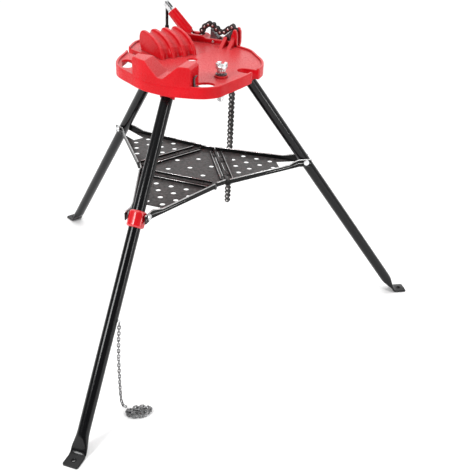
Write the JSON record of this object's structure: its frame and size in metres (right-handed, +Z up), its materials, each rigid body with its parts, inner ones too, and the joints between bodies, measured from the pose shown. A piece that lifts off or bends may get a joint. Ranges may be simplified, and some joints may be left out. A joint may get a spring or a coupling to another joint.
{
  "type": "tripod pipe vise stand",
  "caption": "Folding tripod stand with a chain pipe vise, pipe rest, bender and ceiling brace on a cast table, tube legs and a hinged tool tray.",
  "frame": {"origin": "on the floor, under the middle of the box round the whole stand", "axes": "+Z up; -Y towards the rear leg and the pipe rest, +Y towards the vise jaws; +X towards the ceiling brace"},
  "size_m": [1.3914, 1.205, 0.9542],
  "materials": {
    "red_cast": "gloss",
    "black_tube": "semi-gloss",
    "tray_sheet": "satin",
    "dark_steel": "satin",
    "bright_zinc": "satin"
  },
  "bodies": {
    "head": {"vise_base": "red_cast", "pipe_rest": "red_cast", "pipe_bender": "red_cast", "vise_pedestal": "red_cast", "jaw_left": "dark_steel", "jaw_right": "dark_steel", "jaw_pin_left": "bright_zinc", "jaw_pin_right": "bright_zinc", "hinge_pin_rear": "bright_zinc", "hinge_pin_right": "bright_zinc", "hinge_pin_left": "bright_zinc", "rest_clip": "dark_steel", "vise_chain_over_jaw": "dark_steel"},
    "rear_leg": {"leg_rear": "black_tube", "pivot_bush_rear": "bright_zinc", "leg_collar": "red_cast", "chain_eye": "bright_zinc", "leg_chain_run": "bright_zinc", "leg_chain_heap": "bright_zinc"},
    "right_leg": {"leg_right": "black_tube", "pivot_bush_right": "bright_zinc"},
    "left_leg": {"leg_left": "black_tube", "pivot_bush_left": "bright_zinc"},
    "tray": {"tray_centre": "tray_sheet", "hinge_rod_rear": "dark_steel", "hinge_rod_right": "dark_steel", "hinge_rod_left": "dark_steel"},
    "rear_wing": {"tray_wing_rear": "tray_sheet", "fork_bolt_rear": "bright_zinc", "fork_nut_rear": "bright_zinc"},
    "right_wing": {"tray_wing_right": "tray_sheet", "fork_bolt_right": "bright_zinc", "fork_nut_right": "bright_zinc"},
    "left_wing": {"tray_wing_left": "tray_sheet", "fork_bolt_left": "bright_zinc", "fork_nut_left": "bright_zinc"},
    "swivel": {"tightening_swivel": "dark_steel", "chain_anchor_pin": "bright_zinc"},
    "screw": {"tightening_screw": "bright_zinc", "handle_pin": "bright_zinc"},
    "handle": {"screw_handle": "black_tube"},
    "chain_tail": {"vise_chain_tail": "dark_steel"},
    "brace_ring": {"brace_ring": "dark_steel"},
    "brace_screw": {"ceiling_brace_screw": "bright_zinc"}
  },
  "joints": [
    {"name": "rear_leg_fold", "type": "hinge", "parent": "head", "child": "rear_leg", "pos_m": [0, 0.02954, 0.815], "axis": [1, 0, 0], "range_deg": [0, 33]},
    {"name": "right_leg_fold", "type": "hinge", "parent": "head", "child": "right_leg", "pos_m": [0.13683, 0.26654, 0.815], "axis": [-0.5, 0.866, 0], "range_deg": [0, 33]},
    {"name": "left_leg_fold", "type": "hinge", "parent": "head", "child": "left_leg", "pos_m": [-0.13683, 0.26654, 0.815], "axis": [-0.5, -0.866, 0], "range_deg": [0, 33]},
    {"name": "tray_rise", "type": "slide", "parent": "head", "child": "tray", "axis": [0, 0, 1], "range_m": [0, 0.2032]},
    {"name": "rear_wing_hinge", "type": "hinge", "parent": "tray", "child": "rear_wing", "pos_m": [0, 0.08954, 0.515], "axis": [1, 0, 0], "range_deg": [0, 75.75]},
    {"name": "right_wing_hinge", "type": "hinge", "parent": "tray", "child": "right_wing", "pos_m": [0.08487, 0.23654, 0.515], "axis": [-0.5, 0.866, 0], "range_deg": [0, 75.75]},
    {"name": "left_wing_hinge", "type": "hinge", "parent": "tray", "child": "left_wing", "pos_m": [-0.08487, 0.23654, 0.515], "axis": [-0.5, -0.866, 0], "range_deg": [0, 75.75]},
    {"name": "chain_tightening", "type": "slide", "parent": "head", "child": "swivel", "axis": [-0.6947, 0, 0.7193], "range_m": [0, 0.016]},
    {"name": "screw_turn", "type": "hinge", "parent": "swivel", "child": "screw", "pos_m": [-0.078, 0.43754, 0.828], "axis": [-0.6947, 0, 0.7193], "range_deg": [0, 1440]},
    {"name": "handle_swing", "type": "hinge", "parent": "screw", "child": "handle", "pos_m": [-0.18776, 0.43754, 0.94166], "axis": [0, 1, 0], "range_deg": [0, 100]},
    {"name": "chain_tail_swing", "type": "hinge", "parent": "head", "child": "chain_tail", "pos_m": [0.0425, 0.43754, 0.864], "axis": [0, -1, 0], "range_deg": [0, 20]},
    {"name": "brace_rise", "type": "slide", "parent": "head", "child": "brace_ring", "axis": [0, 0, 1], "range_m": [0, 0.06]},
    {"name": "brace_turn", "type": "hinge", "parent": "brace_ring", "child": "brace_screw", "pos_m": [0.12, 0.10954, 0.86], "axis": [0, 0, 1], "range_deg": [0, 4320]}
  ],
  "couplings": [
    {"joint": "right_leg_fold", "follows": "rear_leg_fold", "ratio": 1},
    {"joint": "left_leg_fold", "follows": "rear_leg_fold", "ratio": 1},
    {"joint": "tray_rise", "follows": "rear_leg_fold", "m_per_rad": 0.3528},
    {"joint": "rear_wing_hinge", "follows": "rear_leg_fold", "ratio": 2.2954},
    {"joint": "right_wing_hinge", "follows": "rear_leg_fold", "ratio": 2.2954},
    {"joint": "left_wing_hinge", "follows": "rear_leg_fold", "ratio": 2.2954},
    {"joint": "screw_turn", "follows": "chain_tightening", "rad_per_m": 1570.8},
    {"joint": "brace_turn", "follows": "brace_rise", "rad_per_m": 1256.6}
  ]
}
